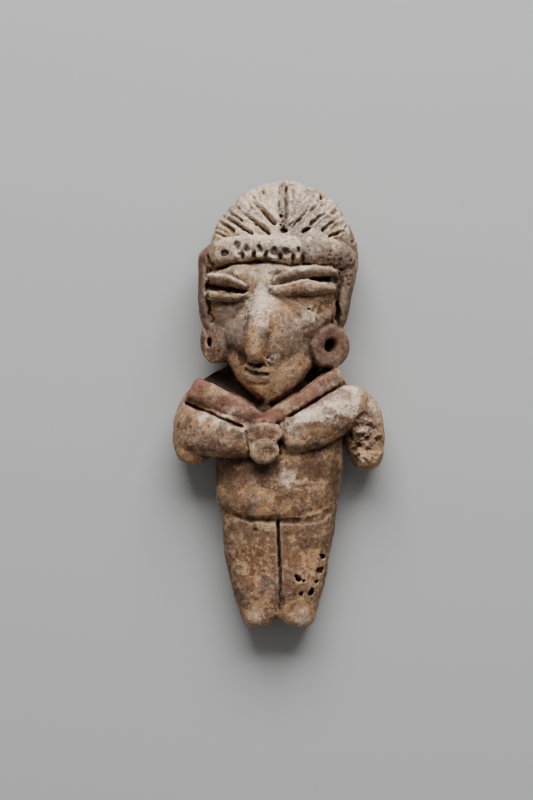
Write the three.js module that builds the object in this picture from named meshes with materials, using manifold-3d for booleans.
// A small solid figurine of a woman, hand modelled in fired clay and lying on its flat back.
// Millimetres, +X to the viewer's right, +Y from the feet to the head, +Z out of the front.
// The body is rolls and pellets of clay pressed together and fired as one piece.

import * as THREE from 'three';
import { LoftGeometry } from 'three/addons/geometries/LoftGeometry.js';
import { mergeVertices } from 'three/addons/utils/BufferGeometryUtils.js';
import Module from 'manifold-3d';

const wasm = await Module();
wasm.setup();

// Driving dimensions
const FIGURE_LENGTH = 90; // feet to the crown of the hair
const SPOOL_DIAMETER = 9; // ear ornaments
const SPOOL_THICKNESS = 3;
const SPOOL_BORE = 3;
const COLLAR_WIDTH = 3.6; // each of the two straps that meet in a V
const COLLAR_THICKNESS = 4.4;
const LID_HEIGHT = 2.3; // clay strips of the eyes, front to back
const STRAND_WIDTH = 0.7; // tool strokes in the hair
const STRAND_DEPTH = 0.55;
const PUNCH_WIDTH = 1.7; // nail marks along the headband
const CLEFT_WIDTH = 0.9; // line between the legs
const CLEFT_DEPTH = 1.6;
const SLOT_WIDTH = 0.9; // gap between the left strap and the arm below it
const PIT_DIAMETER = 1.3; // small holes in the right leg
const PIT_DEPTH = 1.6;

// The figure's own proportions are written in parts, ninety of them to its length.
const PARTS_IN_LENGTH = 90;
const part = FIGURE_LENGTH / PARTS_IN_LENGTH;

const CLAY = new THREE.MeshStandardMaterial({ color: 0xb2957a, roughness: 0.92, metalness: 0 });

// Turns a closed three.js geometry into a solid that can be joined and cut.
function solid(geometry) {
  const plain = new THREE.BufferGeometry().copy(geometry);
  plain.deleteAttribute('normal');
  plain.deleteAttribute('uv');
  const merged = mergeVertices(plain, 1e-5);
  const corners = merged.index.array;
  const kept = [];
  for (let i = 0; i < corners.length; i += 3) {
    const [a, b, c] = corners.slice(i, i + 3);
    if (a !== b && b !== c && c !== a) kept.push(a, b, c);
  }
  return new wasm.Manifold(new wasm.Mesh({
    numProp: 3,
    vertProperties: new Float32Array(merged.attributes.position.array),
    triVerts: new Uint32Array(kept),
  }));
}

const join = (solids) => solids.reduce((all, next) => all.add(next));

// A point of a rounded outline: squareness 2 is an ellipse, and more is boxier.
function rounded(angle, squareness) {
  const bend = (value) => Math.sign(value) * Math.abs(value) ** (2 / squareness);
  return [bend(Math.cos(angle)), bend(Math.sin(angle))];
}

// A roll of clay through stations of [x, y, z, half width, half thickness], in parts.
// Blunt is how square its ends are; the roll keeps its width level and its thickness upright.
function roll(stations, { around = 14, along = 12, squareness = 2, blunt = 5 } = {}) {
  const route = new THREE.CatmullRomCurve3(
    stations.map(([x, y, z]) => new THREE.Vector3(x, y, z).multiplyScalar(part)), false, 'chordal');
  const girth = new THREE.CatmullRomCurve3(
    stations.map(([, , , width, thickness]) => new THREE.Vector3(width, thickness, 0).multiplyScalar(part)));
  const smallestEnd = 0.25;
  const sections = [];
  for (let step = 0; step <= along; step += 1) {
    const t = (1 - Math.cos(Math.PI * step / along)) / 2;
    const centre = route.getPoint(t);
    const ahead = route.getTangent(t);
    const up = new THREE.Vector3(0, 0, 1).addScaledVector(ahead, -ahead.z).normalize();
    const side = new THREE.Vector3().crossVectors(ahead, up);
    const size = girth.getPoint(t);
    const fullness = Math.max((1 - Math.abs(2 * t - 1) ** blunt) ** (1 / blunt), smallestEnd);
    const section = [];
    for (let spoke = 0; spoke < around; spoke += 1) {
      const [across, lift] = rounded(-2 * Math.PI * spoke / around, squareness);
      section.push(centre.clone()
        .addScaledVector(side, across * size.x * fullness)
        .addScaledVector(up, lift * size.y * fullness));
    }
    sections.push(section);
  }
  return solid(new LoftGeometry(sections, { capStart: true, capEnd: true }));
}

// A pressed ball of clay, with its own roundness to the front and to the back, in parts.
function ball([x, y, z], [width, length, front, back], around = 28, along = 16) {
  const geometry = new THREE.SphereGeometry(1, around, along);
  const place = geometry.attributes.position;
  for (let i = 0; i < place.count; i += 1) {
    const depth = place.getZ(i);
    place.setXYZ(i, part * (x + place.getX(i) * width), part * (y + place.getY(i) * length),
      part * (z + depth * (depth > 0 ? front : back)));
  }
  return solid(geometry);
}

// A flattened pellet standing on the middle of its lower face, with a soft edge.
function pellet(radius, thickness, around = 16) {
  const outline = [[0, 0], [0.9, 0], [1, 0.3], [1, 0.65], [0.92, 0.9], [0.78, 1], [0, 1]]
    .map(([out, up]) => new THREE.Vector2(out * radius, up * thickness));
  return new THREE.LatheGeometry(outline, around).rotateX(Math.PI / 2);
}

// A round punch, wider at its mouth, that points into the clay.
function punch(diameter, depth, around = 7) {
  const flare = 1.25;
  return new THREE.CylinderGeometry(diameter / 2 * flare, diameter / 2, depth * 2, around).rotateX(Math.PI / 2);
}

// Trunk, from the neck over the shoulders to the hips, flat behind
const trunk = roll([
  [-1.1, 12, 3.6, 7.5, 3.8],
  [-1.1, 8, 3.6, 9.6, 4],
  [-1.1, 4.6, 4, 14.4, 4.4],
  [-0.9, 0, 5.4, 16.4, 6.5],
  [0, -6, 6, 13.4, 6.6],
  [0, -15, 6, 12.8, 6.6],
  [0, -24, 5.6, 11.8, 5.8],
], { around: 20, along: 12, squareness: 2.8, blunt: 14 });

// The soft belly hangs a little over the thighs.
const belly = roll([
  [0.2, -5, 6.2, 12, 6.7],
  [0.2, -12, 6.6, 12.4, 7.4],
  [-0.2, -18, 6.7, 12.2, 7.4],
  [0.3, -23.5, 6.4, 10.6, 7.2],
], { around: 20, along: 11, squareness: 2.4, blunt: 6 });

// The legs are one mass, and only the feet part.
const legs = roll([
  [0.1, -19, 5.8, 11.6, 6.5],
  [-0.1, -27, 5.7, 11.3, 6.4],
  [-0.1, -34, 5.3, 9.8, 6],
  [-0.1, -39.5, 5, 8.2, 5.6],
  [-0.1, -43.4, 4.6, 6.7, 5.2],
], { around: 24, along: 10, squareness: 2.7, blunt: 7 });

const leftFoot = roll([
  [-4.8, -34, 5, 4, 4.6],
  [-4.2, -39.5, 4.9, 4.1, 5.2],
  [-3.5, -44.75, 4.6, 3.6, 5.1],
], { around: 14, along: 8, squareness: 2.8, blunt: 5 });

const rightFoot = roll([
  [4.6, -34, 5, 4, 4.6],
  [4, -39.5, 4.9, 4.1, 5.2],
  [3.3, -44.65, 4.6, 3.7, 5.1],
], { around: 14, along: 8, squareness: 2.8, blunt: 5 });

// Arms: the upper arms end in short elbow stumps, and the forearms meet on the chest.
const leftUpperArm = roll([
  [-14.6, 2.6, 6.2, 3.6, 5],
  [-16.8, -3.5, 6.8, 4.4, 5.8],
  [-17.3, -8.6, 6.6, 4, 5.2],
  [-18.2, -11.7, 6.2, 2.6, 3.9],
], { around: 14, along: 8, squareness: 2.3, blunt: 7 });

const leftForearm = roll([
  [-19.4, -4.4, 8.2, 4.3, 3.8],
  [-14.8, -5.5, 10.3, 4.9, 4.6],
  [-9.5, -6.4, 11.8, 4.5, 4.4],
  [-4.4, -7.2, 12.4, 4, 3.8],
], { around: 14, along: 9, squareness: 2.2, blunt: 6 });

const rightForearm = roll([
  [17.6, -0.2, 8, 3.6, 3.8],
  [13.2, -1.1, 9.8, 4.7, 4.6],
  [7.2, -4.2, 11.4, 4.5, 4.4],
  [0.4, -7.4, 12.2, 4, 3.8],
], { around: 14, along: 9, squareness: 2.2, blunt: 6 });

const rightUpperArm = roll([
  [14.8, 1.6, 6.2, 3.2, 4.8],
  [17.2, -3.2, 6.8, 4.1, 5.6],
  [17.8, -8.4, 6.6, 3.7, 5.4],
  [18, -12.9, 6, 2.6, 4],
], { around: 14, along: 8, squareness: 2.3, blunt: 8 });

// Head: a jaw that narrows to a V, side hair, and a domed head of hair
const face = roll([
  [-2.8, -0.9, 8.8, 1.6, 2.8],
  [-2, 3.7, 9.4, 5.8, 5],
  [-1.8, 8.2, 9.4, 8.8, 6.2],
  [-1.8, 12.8, 8.8, 10.2, 6.9],
  [-1.6, 18, 8.5, 12.9, 7.3],
  [-1.2, 24, 8.3, 14, 7.7],
  [-0.8, 32, 8.2, 14.4, 7.6],
], { around: 22, along: 12, squareness: 2.6, blunt: 14 });

const HAIR_CENTRE = [1.1, 29.3, 7.6];
const HAIR_SIZE = [15.2, 15.8, 8.9, 8.6];
const hair = ball(HAIR_CENTRE, HAIR_SIZE, 26, 14);

const leftSideHair = roll([
  [-14.7, 31, 8.8, 1.8, 5.2],
  [-15, 23, 8.6, 1.3, 4.6],
  [-14.4, 15.6, 8.4, 1.2, 3.6],
], { around: 8, along: 6 });

const rightSideHair = roll([
  [14, 31, 8.6, 2, 5],
  [13.3, 23, 8.6, 1.7, 4.4],
  [12, 15.2, 8.4, 1.5, 3.4],
], { around: 8, along: 6 });

const headband = roll([
  [-15.4, 28.2, 10.2, 1.8, 1.6],
  [-13, 29.7, 12.8, 2.6, 2.4],
  [-8, 31, 14.5, 2.8, 2.8],
  [0.3, 31.5, 15.2, 2.9, 3],
  [8, 31, 14.5, 2.8, 2.8],
  [12.6, 30, 12.8, 2.6, 2.4],
  [15, 29, 10.4, 2, 1.8],
], { around: 10, along: 14 });

// Eyes: an upper and a lower strip with a slit between them
const FACE_FRONT = 16;
const lidHalfHeight = LID_HEIGHT / 2 / part;

const lid = (places) => roll(
  places.map(([x, y, halfWidth, drop = 0]) => [x, y, FACE_FRONT - drop, halfWidth, lidHalfHeight]),
  { around: 8, along: 7 });

const lids = [
  lid([[-15, 25.2, 0.8, 1.8], [-12.1, 25.1, 1.2, 0.7], [-9.6, 24.7, 1, 0.3], [-6.3, 23.5, 0.5, 0.3]]),
  lid([[-15, 22.2, 0.8, 1.8], [-12.3, 21.6, 1, 0.8], [-9.3, 21.3, 0.9, 0.4], [-6.6, 21.9, 0.5, 0.4]]),
  lid([[-1.5, 24.4, 0.5, 0.2], [2.2, 25.8, 1, 0.2], [7, 26.8, 1.1, 0.3], [12.2, 26.2, 0.8, 1.6]]),
  lid([[-1.2, 22.8, 0.8, 0.2], [2, 22.8, 1.2, 0.2], [6.2, 23.2, 1.3, 0.3], [11.6, 23.3, 0.8, 1.7]]),
];

// A broad beak of a nose, and the lips under it
const nose = roll([
  [-3.9, 27, 12.4, 2.4, 3.8],
  [-3.9, 22, 13, 3.2, 5],
  [-3.6, 17.5, 13.6, 4, 6.2],
  [-3.9, 13.4, 14.2, 3.8, 7.2],
  [-4.3, 10.6, 14.6, 3.1, 7.5],
  [-4.7, 8.2, 14.4, 2.2, 5.4],
], { around: 12, along: 10, squareness: 1.8, blunt: 4 });
const noseRoot = roll([
  [-3.8, 24, 12.4, 4.4, 4],
  [-3.4, 16, 12.6, 5.8, 4.9],
  [-3.8, 9.2, 12.6, 4.8, 3.8],
], { around: 12, along: 7, blunt: 4 });

const lips = [
  roll([[-7.3, 7.4, 14.6, 0.7, 1], [-4.2, 7, 15.2, 1, 1.2], [-0.9, 6.9, 14.8, 0.7, 1]],
    { around: 8, along: 8 }),
  roll([[-6.9, 6.2, 14.3, 0.6, 0.8], [-4, 5.3, 14.5, 0.9, 1], [-1, 5.6, 14.3, 0.6, 0.8]],
    { around: 8, along: 8 }),
];
const mouthSlit = roll([[-6.9, 7, 15.9, 0.3, 1], [-4.2, 6.2, 15.9, 0.4, 1.1], [-1.2, 6.1, 15.7, 0.3, 1]],
  { around: 6, along: 6 });

// Ear spools: thick discs on the sides of the jaw, bored through the middle
const spools = [
  { x: -11.4, y: 12.6, z: 8.4, turn: -0.94 },
  { x: 9.4, y: 11.8, z: 9.6, turn: 0.5 },
];

function atSpool(geometry, { x, y, z, turn }, lift) {
  const turned = geometry.translate(0, 0, lift).rotateY(turn);
  return solid(turned.translate(x * part, y * part, z * part));
}

const spoolDiscs = spools.map((spool) => atSpool(
  pellet(SPOOL_DIAMETER / 2, SPOOL_THICKNESS), spool, 0));
const spoolBores = spools.map((spool) => atSpool(
  punch(SPOOL_BORE, SPOOL_THICKNESS * 0.75), spool, SPOOL_THICKNESS));

// Collar: two flat straps that meet in a V under the chin
const strapHalfThickness = COLLAR_THICKNESS / 2 / part;
const strap = (places) => roll(
  places.map(([x, y, front, flare = 1]) => [
    x, y, front - strapHalfThickness, flare * COLLAR_WIDTH / 2 / part, strapHalfThickness]),
  { around: 10, along: 6, squareness: 4, blunt: 24 });

const leftStrap = strap([[-17.4, 3.1, 12.5, 1.36], [-11.2, 0.5, 14, 1.2], [-5.6, -2.3, 14.9], [-2.4, -3.4, 15.1]]);
const rightStrap = strap([[12.2, 5.9, 12.2], [4.6, 1, 14.1], [-1.2, -2.2, 14.9], [-2, -2.8, 15]]);

// Two pellets on the chest where the hands meet, the lower over the upper
const CHEST_PELLETS = [
  { x: -2.8, y: -5.7, front: 16.4, width: 3.9, length: 2.5 },
  { x: -2.9, y: -9.4, front: 17.1, width: 3.1, length: 2.8 },
];
const PELLET_THICKNESS = 5;
const pellets = CHEST_PELLETS.map(({ x, y, front, width, length }) => solid(
  pellet(1, PELLET_THICKNESS * part)
    .scale(width * part, length * part, 1)
    .translate(x * part, y * part, (front - PELLET_THICKNESS) * part)));

// Height of the hair's front at a place
function hairFront(x, y) {
  const [cx, cy, cz] = HAIR_CENTRE;
  const [width, length, front] = HAIR_SIZE;
  const room = 1 - ((x - cx) / width) ** 2 - ((y - cy) / length) ** 2;
  return cz + front * Math.sqrt(Math.max(room, 0));
}

// A tool stroke drawn on the hair from one place to another
const strokeHalfWidth = STRAND_WIDTH / 2 / part;
const strokeDepth = STRAND_DEPTH / part;
function stroke([x0, y0], [x1, y1]) {
  const places = [[x0, y0], [(x0 + x1) / 2, (y0 + y1) / 2], [x1, y1]];
  return roll(places.map(([x, y]) => [x, y, hairFront(x, y), strokeHalfWidth, strokeDepth]),
    { around: 5, along: 3, blunt: 3 });
}

const PARTING = [0.9, 33];
const fromParting = (degrees, reach) => [
  PARTING[0] + reach * Math.cos(degrees * Math.PI / 180),
  PARTING[1] + reach * Math.sin(degrees * Math.PI / 180),
];

const strands = [];
for (const degrees of [124, 142, 156, 168, 56, 40, 26, 13]) {
  strands.push(stroke(fromParting(degrees, 3.9), fromParting(degrees, 9)));
}
const PARTING_LINE_SPACING = 1.3;
for (const offset of [-PARTING_LINE_SPACING / 2, PARTING_LINE_SPACING / 2]) {
  strands.push(stroke([PARTING[0] + offset, 36.8], [PARTING[0] + offset, 43.6]));
}

// Short notches all along the edge of the hair
const NOTCH_STEP = 14;
const NOTCH_MIDDLE = 90;
for (let step = -5; step <= 5; step += 1) {
  const angle = (NOTCH_MIDDLE + NOTCH_STEP * (step + 0.5)) * Math.PI / 180;
  const [cx, cy] = HAIR_CENTRE;
  const rim = (share) => [
    cx + HAIR_SIZE[0] * share * Math.cos(angle),
    cy + HAIR_SIZE[1] * share * Math.sin(angle),
  ];
  strands.push(stroke(rim(0.83), rim(0.97)));
}

// Nail marks along the headband
const PUNCH_SPACING = 2.35;
const PUNCH_COUNT = 6;
const punches = [];
for (let i = 0; i < PUNCH_COUNT; i += 1) {
  const x = -8.5 + PUNCH_SPACING * i;
  const y = 30.7 + 0.012 * (x + 1) ** 2;
  const mark = new THREE.SphereGeometry(PUNCH_WIDTH / 2, 7, 5);
  punches.push(solid(mark.translate(x * part, y * part, (18.1 - 0.012 * x * x) * part)));
}

// Cuts into the body
const slot = (places, halfWidth, halfDepth) => roll(
  places.map(([x, y, z]) => [x, y, z, halfWidth, halfDepth]), { around: 6, along: 5, blunt: 8 });
const leftSlot = slot([[-19, 0.3, 11.2], [-12.8, -2.4, 13.6], [-6.6, -4.8, 15]], SLOT_WIDTH / 2 / part, 2.2);
const rightSlot = slot([[14.2, 4, 12.2], [8.6, 0.7, 13.9], [2.6, -2.5, 15]], 0.3, 1.6);
const cleft = slot([[-0.2, -24, 12.4], [0.2, -34, 11.2], [-0.2, -45.6, 9.4]],
  CLEFT_WIDTH / 2 / part, CLEFT_DEPTH / part);

const PIT_PLACES = [
  [9.1, -30.9, 9.5], [8.4, -33.7, 9.3], [7.7, -36, 9.2], [4.2, -35.3, 10.8], [6.5, -38, 9.5], [4.6, -38.3, 10.2],
];
const pits = PIT_PLACES.map(([x, y, z]) => solid(
  punch(PIT_DIAMETER, PIT_DEPTH).translate(x * part, y * part, z * part)));

// The back is flat, so the figure lies on it without rocking.
const tableTop = FIGURE_LENGTH;
const underTheBack = solid(new THREE.BoxGeometry(FIGURE_LENGTH * 2, FIGURE_LENGTH * 2, tableTop)
  .translate(0, 0, -tableTop / 2));

const clay = join([
  trunk, belly, legs, leftFoot, rightFoot, leftUpperArm, leftForearm, rightUpperArm, rightForearm,
  face, hair, leftSideHair, rightSideHair, headband, nose, noseRoot, leftStrap, rightStrap,
  ...lips, ...lids, ...spoolDiscs, ...pellets,
]);
const cuts = join([
  leftSlot, rightSlot, cleft, mouthSlit, underTheBack, ...strands, ...punches, ...spoolBores, ...pits,
]);
const carved = clay.subtract(cuts);

// The solid's triangles, centred over the middle of its outline with its back at height zero.
function centredGeometry(body) {
  const mesh = body.getMesh();
  const geometry = new THREE.BufferGeometry();
  geometry.setAttribute('position', new THREE.BufferAttribute(new Float32Array(mesh.vertProperties), 3));
  geometry.setIndex(new THREE.BufferAttribute(new Uint32Array(mesh.triVerts), 1));
  geometry.computeBoundingBox();
  const middle = geometry.boundingBox.getCenter(new THREE.Vector3());
  geometry.translate(-middle.x, -middle.y, -geometry.boundingBox.min.z);
  geometry.computeVertexNormals();
  return geometry;
}

const figurine = new THREE.Mesh(centredGeometry(carved), CLAY);
figurine.name = 'figurine';

const figure = new THREE.Group();
figure.add(figurine);

export default figure;
